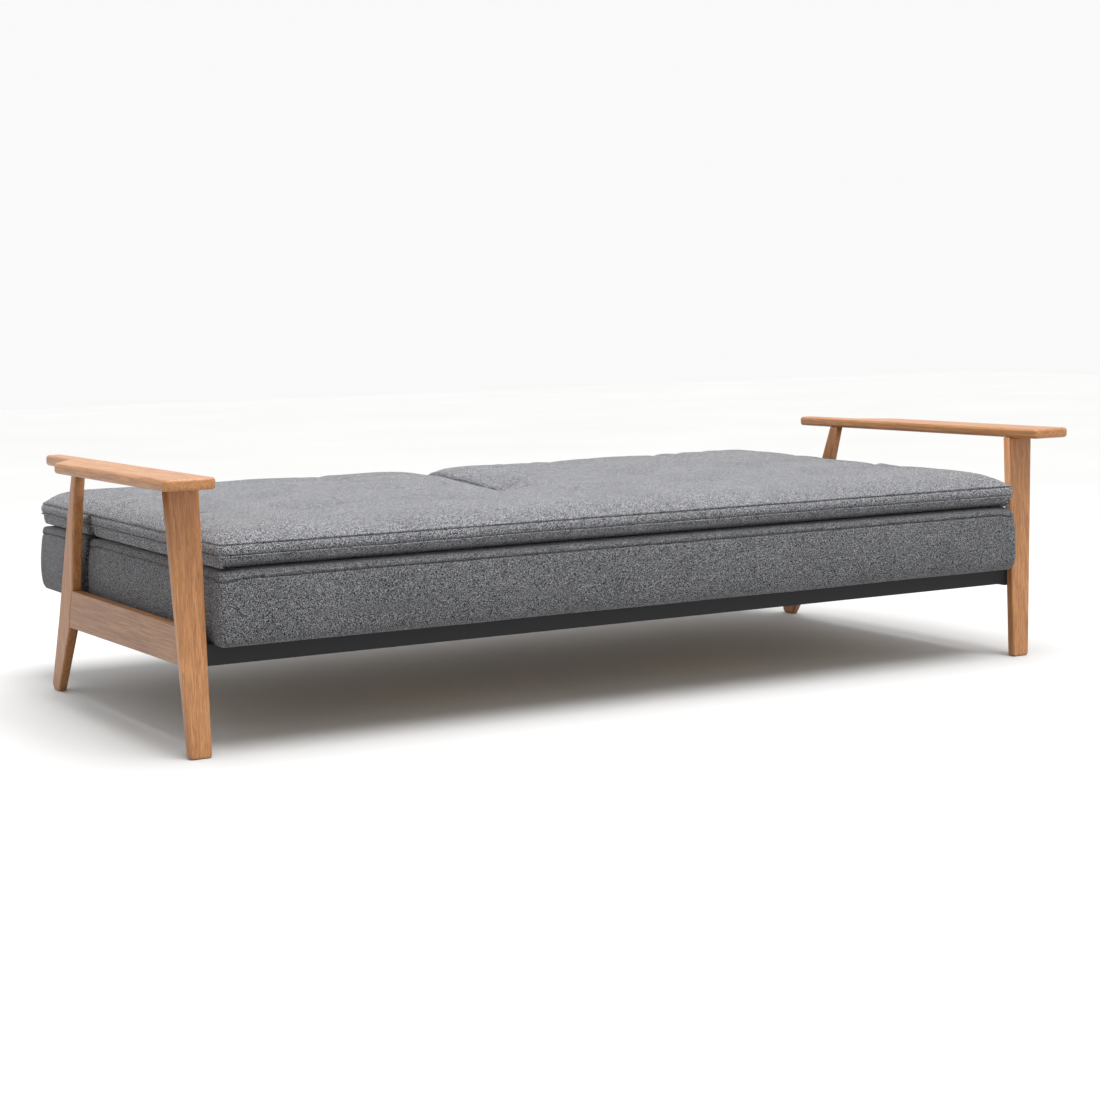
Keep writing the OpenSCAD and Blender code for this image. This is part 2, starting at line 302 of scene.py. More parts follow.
def oak(name, axis, seed, tone=1.0):
    """Clear-lacquered oak with its grain along one axis."""
    m = Nodes(name)
    place = (seed * 1.7, seed * 0.9, seed * 2.3)
    vector = m.mapped(grain_scale(axis, 0.8, 15.0), place)
    figure = m.noise(vector, 1.5, detail=3.0, rough=0.45, distortion=0.35)
    rings = m.math("FRACT", m.math("MULTIPLY", figure, 9.0))
    year = m.ramp(rings, [(0.0, grey(0.0)), (0.55, grey(0.30)), (0.88, grey(1.0)), (1.0, grey(0.1))])
    fibres = m.noise(m.mapped(grain_scale(axis, 7.0, 330.0), place), 1.0, detail=3.0, rough=0.6)
    pores = m.noise(m.mapped(grain_scale(axis, 30.0, 700.0), place), 1.0, detail=1.0)
    tint = m.noise(m.mapped(grey(2.2), place), 1.0, detail=2.0)
    light = toned((0.440, 0.208, 0.076), tone)
    deep = toned((0.235, 0.094, 0.030), tone)
    warm = toned((0.385, 0.160, 0.050), tone)
    dark = toned((0.120, 0.048, 0.018), tone)
    base = m.mix(m.ramp(tint, [(0.35, grey(0.0)), (0.65, grey(1.0))]), light, warm)
    base = m.mix(m.math("MULTIPLY", year, 0.55), base, deep)
    streaks = m.ramp(fibres, [(0.42, grey(1.0)), (0.55, grey(0.0))])
    base = m.mix(m.math("MULTIPLY", streaks, 0.62), base, deep)
    specks = m.ramp(pores, [(0.30, grey(1.0)), (0.40, grey(0.0))])
    base = m.mix(m.math("MULTIPLY", specks, 0.55), base, dark)
    m.paint(base)
    m.paint(m.ramp(fibres, [(0.3, grey(0.50)), (0.7, grey(0.36))]), "Roughness")
    m.surface(Coat_Weight=0.12, Coat_Roughness=0.32)
    m.bump(m.math("SUBTRACT", fibres, m.math("MULTIPLY", specks, 0.6)), 0.16, 0.0006)
    return m.material


def cloth(name, seed, tone=1.0):
    """Mottled grey woven cloth: light and dark yarns with a fine weave."""
    m = Nodes(name)
    place = (seed * 1.3, seed * 2.1, seed * 0.7)
    yarns = [m.noise(m.mapped(scale, place), 1.0, detail=2.0, rough=0.6)
             for scale in ((300, 1050, 1050), (1050, 300, 1050), (1050, 1050, 450))]
    mottle = m.noise(m.mapped(grey(690), place), 1.0, detail=1.0, rough=0.6)
    clumps = m.noise(m.mapped(grey(150), place), 1.0, detail=2.0, rough=0.6)
    patches = m.noise(m.mapped(grey(7), place), 1.0, detail=3.0, rough=0.6)
    yarn = m.math("ADD", m.math("ADD", yarns[0], yarns[1]), yarns[2])
    speck = m.math("ADD", m.math("MULTIPLY", yarn, 0.20), m.math("MULTIPLY", mottle, 0.34))
    speck = m.math("ADD", speck, m.math("MULTIPLY", clumps, 0.05))
    black = toned((0.006, 0.0065, 0.0080), tone)
    low = toned((0.034, 0.035, 0.040), tone)
    mid = toned((0.094, 0.096, 0.105), tone)
    pale = toned((0.42, 0.425, 0.445), tone)
    colour = m.ramp(speck, [(0.452, black), (0.481, low), (0.506, mid), (0.541, pale)])
    shade = m.ramp(patches, [(0.3, grey(0.92)), (0.7, grey(1.06))])
    m.paint(m.mix(1.0, colour, shade, "MULTIPLY"))
    m.surface(Roughness=0.92, Sheen_Weight=0.12, Sheen_Roughness=0.45, Specular_IOR_Level=0.12)
    threads = m.add("ShaderNodeTexVoronoi", in_Scale=1.0, feature="F1")
    m.link(m.mapped(grey(760), place), threads.inputs["Vector"])
    height = m.math("ADD", m.math("MULTIPLY", threads.outputs["Distance"], 0.5),
                    m.math("MULTIPLY", speck, 3.0))
    m.bump(height, 0.5, 0.0010)
    return m.material


def thread_cloth(name, colour):
    """Sewing thread: fine twisted strands."""
    m = Nodes(name)
    strand = m.noise(m.mapped(grey(1500)), 1.0, detail=1.0)
    m.paint(m.mix(strand, toned(colour, 0.6), colour))
    m.surface(Roughness=0.7)
    m.bump(strand, 0.4, 0.0004)
    return m.material


def black_steel(name):
    """Black powder coat with a fine orange-peel texture and slight wear."""
    m = Nodes(name)
    peel = m.noise(m.mapped(grey(900)), 1.0, detail=2.0)
    dust = m.noise(m.mapped(grey(14)), 1.0, detail=4.0, rough=0.65)
    m.paint(m.ramp(dust, [(0.3, (0.0070, 0.0072, 0.0085)), (0.7, (0.0120, 0.0123, 0.0140))]))
    m.paint(m.ramp(dust, [(0.3, grey(0.48)), (0.7, grey(0.60))]), "Roughness")
    m.surface(Specular_IOR_Level=0.3)
    m.bump(peel, 0.25, 0.0005)
    return m.material


def zinc(name):
    """Zinc plate with a faint spangle."""
    m = Nodes(name)
    spangle = m.noise(m.mapped(grey(160)), 1.0, detail=3.0)
    m.paint(m.ramp(spangle, [(0.3, (0.40, 0.41, 0.42)), (0.7, (0.62, 0.63, 0.64))]))
    m.paint(m.ramp(spangle, [(0.3, grey(0.28)), (0.7, grey(0.42))]), "Roughness")
    m.surface(Metallic=1.0)
    m.bump(spangle, 0.1, 0.0003)
    return m.material


def pale_wood(name, axis):
    """Unfinished pale wood with its grain along one axis, in thin layers."""
    m = Nodes(name)
    grain = m.noise(m.mapped(grain_scale(axis, 2.5, 60.0)), 1.0, detail=4.0, rough=0.6, distortion=0.4)
    layers = m.noise(m.mapped((1, 1, 700)), 1.0, detail=0.0)
    colour = m.ramp(grain, [(0.3, (0.42, 0.28, 0.15)), (0.55, (0.56, 0.40, 0.23)),
                            (0.75, (0.62, 0.46, 0.28))])
    m.paint(m.mix(m.math("MULTIPLY", layers, 0.35), colour, (0.30, 0.19, 0.10)))
    m.surface(Roughness=0.75)
    m.bump(grain, 0.2, 0.0006)
    return m.material


def pale_floor(name):
    """Matt studio floor."""
    m = Nodes(name)
    patch = m.noise(m.mapped(grey(0.8)), 1.0, detail=2.0)
    m.paint(m.ramp(patch, [(0.3, grey(0.52)), (0.7, grey(0.54))]))
    m.surface(Roughness=0.85)
    return m.material


# The boxes wear the topper's cloth at 0.64 of its brightness: painted shade on their less lit walls.
SHADED_CLOTH_BOX = cloth("mottled_cloth_box_painted_shade", 1, 0.64)
CLOTH_TOPPER = cloth("mottled_cloth_topper", 2)
# Near-black thread: partly the stitches' own colour and partly painted shade of the dark line along each
# seam.
THREAD_WITH_SEAM_SHADE = thread_cloth("seam_thread", (0.035, 0.035, 0.040))
STEEL = black_steel("black_powder_coat")
ZINC = zinc("zinc_plate")
PLYWOOD = pale_wood("plywood_sheet", "X")
BEECH = pale_wood("beech_dowel", "Z")


# ---- oak arm frames ----

def oak_piece(part, word, outline, low, high, radius, place, axis, seed, tone=1.0):
    """One board of an arm frame, standing for its CAD piece."""
    wood = oak(f"oak_{part}_{word}", axis, seed, tone)
    board = rounded_slab(f"{part}_{word}_oak", outline, low, high, radius, place, wood)
    put(board, "base", "oak", f"{part}_{word}")


def armrest(side, word):
    drop = 0.007
    thickness = 0.024
    length = ARM_HIGH.y - ARM_LOW.y
    plan = rounded_outline([
        (INNER_X, ARM_LOW.y, 0.011), (INNER_X + 0.110, ARM_LOW.y, 0.016),
        (INNER_X + 0.114, 0.060, 0.020), (INNER_X + 0.050, 0.152, 0.030),
        (INNER_X + 0.042, ARM_HIGH.y, 0.016), (INNER_X, ARM_HIGH.y, 0.014)], 10)
    top = ARM_HIGH.z

    def place(u, v, w):
        return (side * u, v, w - drop * (v - ARM_LOW.y) / length)

    oak_piece("armrest", word, plan, top - thickness, top, 0.0075, place, "Y", 3 + side)


def front_leg(side, word):
    top_width, foot_width = FRONT_LEG_HIGH.x - FRONT_LEG_LOW.x, 0.048
    depth = 0.024
    rake = FRONT_LEG_HIGH.y - FRONT_LEG_LOW.y - depth
    top = FRONT_LEG_HIGH.z
    view = rounded_outline([
        (INNER_X, 0.0, 0.007), (INNER_X + foot_width, 0.0, 0.009),
        (INNER_X + top_width, top, 0.0), (INNER_X, top, 0.0)], 5)

    def place(u, v, w):
        return (side * u, w - rake * (1 - v / top), v)

    high = FRONT_LEG_HIGH.y
    oak_piece("front_leg", word, view, high - depth, high, 0.0048, place, "Z", 6 + side)


def rear_leg(side, word):
    thickness, foot = REAR_LEG_HIGH.x - REAR_LEG_LOW.x, 0.020
    taper_height = 0.13                  # the leg thins towards its foot below this height
    top = REAR_LEG_HIGH.z
    outline = rounded_outline([
        (0.178, top, 0.0), (0.209, 0.437, 0.30), (0.2365, 0.262, 0.050),
        (0.268, 0.164, 0.060), (0.375, 0.0, 0.008), (0.4278, 0.0, 0.014),
        (0.345, 0.168, 0.22), (0.250, 0.437, 0.40), (0.207, top - 0.0003, 0.0)], 9)

    def place(u, v, w):
        spread = 1 - (1 - foot / thickness) * max(0.0, 1 - v / taper_height)
        return (side * (INNER_X + w * spread), u, v)

    oak_piece("rear_leg", word, outline, 0.0, thickness, 0.005, place, "Z", 9 + side, 0.90)


def side_rail(side, word):
    thickness = RAIL_HIGH.x - RAIL_LOW.x
    bottom, front_bottom, top = RAIL_LOW.z, RAIL_LOW.z + 0.010, RAIL_HIGH.z
    outline = rounded_outline([
        (RAIL_LOW.y + 0.0041, top, 0.0), (RAIL_LOW.y + 0.0002, front_bottom, 0.0),
        (0.268, bottom, 0.0), (0.2385, top, 0.0)], 4)
    inset = 0.0006                       # each face lies this far inside the CAD rail's

    def place(u, v, w):
        return (side * (INNER_X + w), u, v)

    oak_piece("side_rail", word, outline, inset, thickness - inset, 0.0022, place,
              "Y", 12 + side, 0.74)


# ---- steel and boards: CAD shapes with softened edges ----

def dressed(node, material, slot, body, width):
    """A copy of a CAD piece with its edges broken, standing for that piece."""
    work = bmesh.new()
    work.from_mesh(frame["nodes"][node].data)
    bmesh.ops.remove_doubles(work, verts=work.verts, dist=0.00002)
    bmesh.ops.dissolve_limit(work, angle_limit=math.radians(2), verts=work.verts, edges=work.edges)
    mesh = bpy.data.meshes.new(f"{node}_finished")
    work.to_mesh(mesh)
    work.free()
    mesh.materials.clear()
    mesh.materials.append(material)
    obj = linked(f"{node}_finished", mesh)
    edge = obj.modifiers.new("edge", "BEVEL")
    edge.width = width
    edge.segments = 2
    edge.limit_method = "ANGLE"
    edge.angle_limit = math.radians(50)
    edge.harden_normals = True
    put(obj, body, slot, node)


def hard_parts():
    """The rails, bearers, plates and boards, each standing for its CAD piece."""
    for node in ("front_cross_rail", "rear_cross_rail",
                 "seat_bearer_left", "seat_bearer_middle", "seat_bearer_right"):
        dressed(node, STEEL, "black_steel", "base", TUBE_EDGE)
    for node in ("end_plate_front_left", "end_plate_front_right", "end_plate_rear_left",
                 "end_plate_rear_right"):
        dressed(node, STEEL, "black_steel", "base", PLATE_EDGE)
    dressed("seat_board", PLYWOOD, "plywood", "base", PLATE_EDGE)
    for _, word in SIDES:
        body = f"back_{word}"
        for part in ("outer", "inner", "rear"):
            dressed(f"back_tube_{word}_{part}", STEEL, "black_steel", body, TUBE_EDGE)
        dressed(f"back_board_{word}", PLYWOOD, "plywood", body, PLATE_EDGE)


def carry_over():
    """Gives the CAD pieces that stay as they are their own materials."""
    kept = {"arm_dowels": BEECH, "end_plate_bolts": ZINC}
    for word in ("left", "middle", "right"):
        kept[f"fixed_plate_{word}"] = STEEL
        kept[f"hinge_pin_{word}"] = ZINC
        kept[f"stop_stud_{word}"] = ZINC
    for _, word in SIDES:
        for part in ("outer", "inner"):
            kept[f"moving_plate_{word}_{part}"] = STEEL
    for node, material in kept.items():
        obj = frame["nodes"][node]
        for slot in obj.material_slots:
            slot.material = material


# ---- upholstered boxes ----

def rounded_ring(low, high, radius, counts):
    """Points round a rectangle with round corners, with the outward direction at each."""
    corner_steps = 6
    points, normals = [], []
    corners = [(high[0] - radius, low[1] + radius, -90), (high[0] - radius, high[1] - radius, 0),
               (low[0] + radius, high[1] - radius, 90), (low[0] + radius, low[1] + radius, 180)]
    for index, (cx, cy, start) in enumerate(corners):
        for k in range(corner_steps + 1):
            a = math.radians(start + 90 * k / corner_steps)
            points.append((cx + radius * math.cos(a), cy + radius * math.sin(a)))
            normals.append((math.cos(a), math.sin(a)))
        count = counts[index % 2]
        nx, ny = corners[(index + 1) % 4][:2]
        a = math.radians(start + 90)
        first = points[-1]
        last = (nx + radius * math.cos(a), ny + radius * math.sin(a))
        for k in range(1, count):
            t = k / count
            points.append((first[0] + (last[0] - first[0]) * t, first[1] + (last[1] - first[1]) * t))
            normals.append((math.cos(a), math.sin(a)))
    return np.array(points), np.array(normals)


BOX_SEAM_DROP = 0.0165                   # from a box's top down to its seam
STITCH_ROW_DROP = 0.0007                 # from the seam down to the row that carries the stitches


def box_profile(low, high):
    """Inset and height of each row of an upholstered box, from underside to top, and the seam's height."""
    seam = high - BOX_SEAM_DROP          # the top edge rolls over above this seam
    wall_low, wall_rows = low + 0.016, 10
    wall_run = seam - 0.006 - low - 0.016
    rows = [(0.065, low + 0.0015), (0.037, low + 0.0010), (0.028, low - 0.0020),
            (0.0185, low - 0.0042), (0.0105, low - 0.0032), (0.0050, low + 0.0008),
            (0.0018, low + 0.0072), (0.0002, low + 0.0160)]
    rows += [(0.0, wall_low + wall_run * k / wall_rows) for k in range(1, wall_rows)]
    rows += [(0.0003, seam - 0.0060), (0.0010, seam - 0.0027), (0.0036, seam - STITCH_ROW_DROP),
             (0.0036, seam + 0.0006), (0.0008, seam + 0.0026), (0.0004, seam + 0.0052),
             (0.0022, seam + 0.0088), (0.0066, seam + 0.0125), (0.0135, high - 0.0010),
             (0.0240, high + 0.0002), (0.055, high)]
    return rows, seam


def wall_shape(points, along, z, low_z, seam, seed):
    """How far each point of a row goes out and up: bulging walls, ripples, and tugs at the corners."""
    height = float(np.clip((z - low_z) / (seam - low_z), 0.0, 1.0))
    swell = math.sin(math.pi * height ** 0.72) ** 0.9 if 0.0 < height < 1.0 else 0.0
    out = 0.0105 * swell * (0.62 + 0.38 * smoothstep(0.0, 0.22, along))
    out += swell * (0.0014 * noise_at(points, 0.21, seed) + 0.0004 * noise_at(points, 0.045, seed + 1))
    near_seam = math.exp(-((z - seam) / 0.026) ** 2)
    near_foot = math.exp(-((z - low_z) / 0.020) ** 2)
    ripple = noise_at(points, 0.060, seed + 2)
    out += (0.0008 * near_seam + 0.0012 * near_foot) * ripple
    tug = np.exp(-(along / 0.034) ** 2)
    lift = -0.0062 * near_seam * tug + 0.0009 * near_seam * noise_at(points, 0.10, seed + 3)
    lift += near_foot * (0.0016 * noise_at(points, 0.30, seed + 4) + 0.0005 * ripple)
    raised_share = 0.4 if z > seam + 0.001 else 1.0
    return out, np.where(lift < 0, lift, lift * raised_share)


def upholstered_box(name, low, high, body, node, fold_side, inner_side, seed):
    """A foam block in a sewn cover: rolled top edge, seam below it, soft bulging walls.

    fold_side is the side in y that faces the fold and inner_side the side in x that faces the slit,
    each -1 or 1, or 0 for none. These faces stay flat and unstitched.
    """
    rows, seam = box_profile(low.z, high.z)
    spans = [max(12, int(run / 0.014)) for run in (high.y - low.y, high.x - low.x)]
    corner, least_corner = 0.015, 0.0035
    margin_x, margin_y = 0.0035, 0.004   # room for the walls to bulge in
    base_low, base_high = Vector(low), Vector(high)
    base_low.y += margin_y if fold_side != -1 else 0.0
    base_high.y -= margin_y if fold_side != 1 else 0.0
    base_low.x += margin_x if inner_side != -1 else 0.0
    base_high.x -= margin_x if inner_side != 1 else 0.0
    verts, seam_path = [], None
    for inset, z in rows:
        end_inset = inset * 0.35 if z < low.z + 0.017 and inset < 0.02 else inset
        if z > seam and inset < 0.03:
            end_inset = inset * 0.3
        ring, normals = rounded_ring((base_low.x + end_inset, base_low.y + inset),
                                     (base_high.x - end_inset, base_high.y - inset),
                                     max(corner - inset, least_corner), spans)
        off_x = np.minimum(ring[:, 0] - base_low.x, base_high.x - ring[:, 0])
        off_y = np.minimum(ring[:, 1] - base_low.y, base_high.y - ring[:, 1])
        points = np.column_stack([ring, np.full(len(ring), z)])
        out, lift = wall_shape(points, np.maximum(off_x, off_y), z, low.z, seam, seed)
        fades = 1.0 if inset < 0.03 else 0.0
        out, lift = out * fades, lift * fades
        at_fold = normals[:, 1] * fold_side > 0.3
        at_slit = normals[:, 0] * inner_side > 0.3
        out = np.where(at_fold, np.minimum(out, 0.0), out)
        out = np.where(at_slit, out * 0.15, out)
        points[:, :2] += normals * out[:, None]
        points[:, 2] += lift
        if abs(z - (seam - STITCH_ROW_DROP)) < 1e-6:
            seam_path = points.copy()
        verts.append(points)
    verts = np.concatenate(verts)
    if fold_side:
        verts = round_over(verts, low, high, fold_side)
    # The cover's cloth is the darkened copy of the topper's cloth, with painted shade in it.
    obj = outward(new_object(name, verts, ring_faces(len(rows), len(ring)), SHADED_CLOTH_BOX))
    put(obj, body, "grey_cloth", node)
    ups = np.column_stack([normals, np.zeros(len(ring))])
    box_stitches(name.replace("cover", "thread"), body, seam_path, ups, at_fold | at_slit)


def box_stitches(name, body, path, ups, hidden):
    """Stitches along a box's seam, left out where hidden is true."""
    count = len(path)
    start = int(np.argmax(hidden))
    order = [(start + k) % count for k in range(count) if not hidden[(start + k) % count]]
    put(stitches(name, path[order] + ups[order] * 0.0003, ups[order], BOX_PITCH, THREAD_RADIUS),
        body, "grey_cloth")


def round_over(verts, low, high, fold_side):
    """Rounds the top edge at the fold, so that the blocks clear each other as the back rises."""
    radius = 0.0205
    edge = high.y if fold_side > 0 else low.y
    centre_y, centre_z = edge - fold_side * radius, high.z - radius
    dy = (verts[:, 1] - centre_y) * fold_side
    dz = verts[:, 2] - centre_z
    reach = np.hypot(dy, dz)
    hit = (dy > 0) & (dz > 0) & (reach > radius)
    scale = np.where(hit, radius / np.maximum(reach, 1e-9), 1.0)
    verts[:, 1] = np.where(hit, centre_y + fold_side * dy * scale, verts[:, 1])
    verts[:, 2] = np.where(hit, centre_z + dz * scale, verts[:, 2])
    return verts


def boxes():
    """The seat box and the two back boxes, with a narrow gap at the fold."""
    gap = 0.0018
    seat_high = Vector((SEAT_HIGH.x, FOLD_Y - gap, SEAT_HIGH.z))
    upholstered_box("seat_box_cover", Vector(SEAT_LOW), seat_high, "base", "seat_box", 1, 0, 21)
    for side, word in SIDES:
        inner, outer = sorted((side * BACK_LOW.x, side * BACK_HIGH.x))
        low = Vector((inner, FOLD_Y + gap, BACK_LOW.z))
        high = Vector((outer, BACK_HIGH.y, BACK_HIGH.z))
        upholstered_box(f"back_box_{word}_cover", low, high, f"back_{word}",
                        f"back_box_{word}", -1, -side, 31 + side)


# ---- topper ----

def packed(start, stop, step, dense):
    """Grid lines between two ends, closer together round each value in dense."""
    near = (0.0026, 0.006, 0.0115)
    lines = set(np.round(np.linspace(start, stop, max(2, int(abs(stop - start) / step) + 1)), 5))
    for value in dense:
        lines = {v for v in lines if abs(v - value) > near[-1] * 1.3 or v in (start, stop)}
        for gap in (0.0, *near, *[-n for n in near]):
            if start <= value + gap <= stop:
                lines.add(round(value + gap, 5))
    return np.array(sorted(lines))


TOP_X = TOPPER_HIGH.x - 0.001
TOP_FRONT = TOPPER_LOW.y + 0.001
TOP_REAR = TOPPER_REAR - 0.001
UNDERSIDE_Z = TOPPER_LOW.z + 0.0008
TUFTS = [(x, y) for y in (FRONT_TUFT_Y, MIDDLE_TUFT_Y, BACK_TUFT_Y) for x in TUFT_COLUMNS
         if not (x == 0.0 and y == BACK_TUFT_Y)]
EDGE_TUCKS = [(side * x, y, reach) for side, _ in SIDES
              for x, y, reach in ((TOP_X - 0.006, 0.115, 0.085), (TOP_X - 0.050, -0.185, 0.075))]
# creases running forward from the rear edge: x at the edge, lean, bow, depth
REAR_CREASES = ((0.300, -0.050, 0.012, 0.0022), (0.735, -0.045, -0.012, 0.0030),
                (0.800, -0.035, -0.010, 0.0034), (0.862, -0.030, 0.008, 0.0024),
                (-0.330, -0.030, 0.010, 0.0022))


def tuft_reach(x, y):
    """Distance from a point to each tuft's stitched tuck."""
    return [np.hypot(np.maximum(np.abs(x - tx) - TUFT_HALF, 0.0), y - ty) for tx, ty in TUFTS]


def crease(x, y, start, end, bow, depth, width):
    """Depth at each point of a curved crease between two points, fading towards its far end."""
    span = np.array(end) - np.array(start)
    length = float(np.hypot(*span))
    ahead, across = span / length, np.array((-span[1], span[0])) / length
    dx, dy = x - start[0], y - start[1]
    t = (dx * ahead[0] + dy * ahead[1]) / length
    side = dx * across[0] + dy * across[1] - bow * np.sin(math.pi * np.clip(t, 0, 1))
    fade = smoothstep(-0.03, 0.06, t) * (1 - smoothstep(0.55, 1.03, t))
    sharp = np.exp(-np.abs(side / width) ** 1.25)
    shoulder = 0.45 * np.exp(-((side - 2.6 * width) / (2.2 * width)) ** 2)
    return depth * fade * (sharp - shoulder)


def slit_valley(x, y):
    """Height over the seam allowed round the slit: low at its inner end, and rising away from it."""
    left = x < 0
    meets = y + np.where(left, 1.8, 0.0) * np.abs(x)
    rim = np.interp(np.maximum(meets, SLIT_END_Y), (SLIT_END_Y, 0.27, 0.376, 0.49, 0.57),
                    (-0.0050, 0.0015, 0.0080, 0.0140, 0.0130))
    step = np.where(left, 0.0, 0.0060 * smoothstep(SLIT_END_Y - 0.01, SLIT_END_Y + 0.05, y))
    before = 0.15 * np.maximum(SLIT_END_Y - meets, 0.0)
    return rim + step + before + np.where(left, 0.165, 0.42) * np.abs(x)


def dips(x, y):
    """Each hollow in the topper's top, one by one."""
    columns = sum(np.exp(-((x - c) / 0.085) ** 2) for c in TUFT_COLUMNS)
    for row, depth, width in ((FRONT_TUFT_Y, 0.0030, 0.055), (MIDDLE_TUFT_Y, 0.0038, 0.050),
                              (BACK_TUFT_Y, 0.0028, 0.050)):
        yield depth * np.exp(-((y - row) / width) ** 2) * (0.45 + 0.55 * columns)
    lanes = sum(np.exp(-((x - c) / 0.045) ** 2) for c in TUFT_COLUMNS)
    yield 0.0013 * lanes * smoothstep(0.0, 0.12, y - TOP_FRONT) * smoothstep(0.0, 0.10, TOP_REAR - y)
    yield 0.0030 * np.exp(-((y - FOLD_Y) / 0.030) ** 2)
    for reach in tuft_reach(x, y):
        yield 0.0046 * np.exp(-(reach / 0.0065) ** 1.1)
        yield 0.0022 * np.exp(-(reach / 0.045) ** 2)
    for tx, ty, run in EDGE_TUCKS:
        inward = -np.sign(tx)
        reach = np.hypot(np.maximum(np.abs(x - tx - inward * run / 2) - run / 2, 0.0),
                         y - ty - 0.25 * (x - tx) * inward * np.sign(ty))
        yield 0.0052 * np.exp(-(reach / 0.0085) ** 1.15)
    for side, _ in SIDES:
        deeper = 1.0 if side > 0 else 0.55
        yield crease(x, y, (side * 0.006, 0.350), (side * 0.235, 0.545), -side * 0.030,
                     0.0042 * deeper, 0.0050) * (np.sign(x) == side)
    yield crease(x, y, (TOP_X - 0.010, -0.020), (0.700, -0.335), 0.030, 0.0052, 0.0060)
    for start, lean, bow, depth in REAR_CREASES:
        yield crease(x, y, (start, TOP_REAR - 0.006), (start + lean, 0.445), bow, depth, 0.0085)


def crown(x, y):
    """Height of the topper's top above its seam."""
    rise = 1.0
    for distance, run in ((TOP_X - np.abs(x), 0.019), (y - TOP_FRONT, 0.034), (TOP_REAR - y, 0.022)):
        rise = rise * (1 - np.exp(-np.maximum(distance, 0.0) / run))
    full = 0.0320 * (1 + 0.14 * smoothstep(0.0, 0.35, y) * smoothstep(-0.3, 0.9, x))
    blend = 0.0035                       # how softly the crown and the slit's valley merge
    merged = -np.log(np.exp(-full / blend) + np.exp(-slit_valley(x, y) / blend)) * blend
    height = merged * rise
    flat = np.column_stack([np.ravel(x), np.ravel(y), np.zeros(np.size(x))])
    rumple = 0.0016 * noise_at(flat, 0.16, 51) + 0.0007 * noise_at(flat, 0.055, 52)
    rumple = rumple.reshape(np.shape(x)) * rise
    return height - sum(dips(x, y)) * np.clip(rise * 1.25, 0, 1) + rumple


def thinned(lines):
    """Sorted grid lines without those that nearly repeat the one before."""
    lines = np.unique(np.concatenate(lines))
    return lines[np.concatenate([[True], np.diff(lines) > 0.0012])]


def top_grid():
    """Grid lines of the topper's top: x of the right half, and y."""
    step, edge = 0.0095, 0.0035
    ys = packed(TOP_FRONT, TOP_REAR, step, (FRONT_TUFT_Y, MIDDLE_TUFT_Y, BACK_TUFT_Y))
    ys = thinned([ys, [TOP_FRONT + edge, TOP_REAR - edge, SLIT_END_Y]])
    right = thinned([packed(0.0, TOP_X, step, ()), [edge, 0.0065, TOP_X - edge]])
    return right, ys


def round_corner(x, y, low, high, radius):
    """Moves grid points so that the corners of a rectangle become round."""
    for cx, sx in ((low[0] + radius, -1), (high[0] - radius, 1)):
        for cy, sy in ((low[1] + radius, -1), (high[1] - radius, 1)):
            qx, qy = (x - cx) * sx, (y - cy) * sy
            inside = (qx > 0) & (qy > 0)
            reach = np.hypot(qx, qy)
            scale = np.where(inside & (reach > 0), np.maximum(qx, qy) / np.maximum(reach, 1e-9), 1.0)
            x = np.where(inside, cx + sx * qx * scale, x)
            y = np.where(inside, cy + sy * qy * scale, y)
    return x, y


def build_top():
    """The sewn top of the topper as one sheet, slit at the rear: points, faces, and index grids."""
    right, ys = top_grid()
    columns = len(right)
    points, grids = [], {}
    shared = {}
    for side, _ in SIDES:
        grid = np.zeros((columns, len(ys)), int)
        gx, gy = np.meshgrid(right, ys, indexing="ij")
        gx, gy = round_corner(gx, gy, (-0.5, TOP_FRONT), (TOP_X, TOP_REAR), TOPPER_CORNER)
        slit_open = SLIT_HALF * smoothstep(SLIT_END_Y - 0.004, SLIT_END_Y + 0.030, gy)
        pull = np.exp(-gx / 0.02)
        gx = gx + slit_open * pull
        rear_corner = smoothstep(TOP_REAR - 0.024, TOP_REAR, gy) ** 2
        gx = gx + 0.006 * rear_corner * np.exp(-gx / 0.012)
        for i in range(columns):
            for j, y in enumerate(ys):
                if i == 0 and y < SLIT_END_Y and side == 1:
                    grid[i, j] = shared[j]
                    continue
                grid[i, j] = len(points)
                if i == 0 and y < SLIT_END_Y:
                    shared[j] = len(points)
                x = 0.0 if i == 0 and y < SLIT_END_Y else side * gx[i, j]
                points.append((x, gy[i, j], 0.0))
        grids[side] = grid
    points = np.array(points)
    points[:, 2] = SEAM_Z + crown(points[:, 0], points[:, 1])
    faces = []
    for side, grid in grids.items():
        for i in range(columns - 1):
            for j in range(len(ys) - 1):
                quad = (grid[i, j], grid[i + 1, j], grid[i + 1, j + 1], grid[i, j + 1])
                faces.append(quad if side > 0 else quad[::-1])
    return points, faces, grids, ys


def border_weight(points):
    """1 on the sewn border and in the tufts' tucks, 0 elsewhere."""
    x, y = points[:, 0], points[:, 1]
    edge = np.minimum(TOP_X - np.abs(x), np.minimum(y - TOP_FRONT, TOP_REAR - y))
    weight = (edge < 0.005).astype(float)
    on_slit = (np.abs(x) < SLIT_HALF + 0.0035) & (y > SLIT_END_Y - 0.004)
    weight[on_slit] = 1.0
    for reach in tuft_reach(x, y):
        weight[reach < 0.0016] = 1.0
    return weight


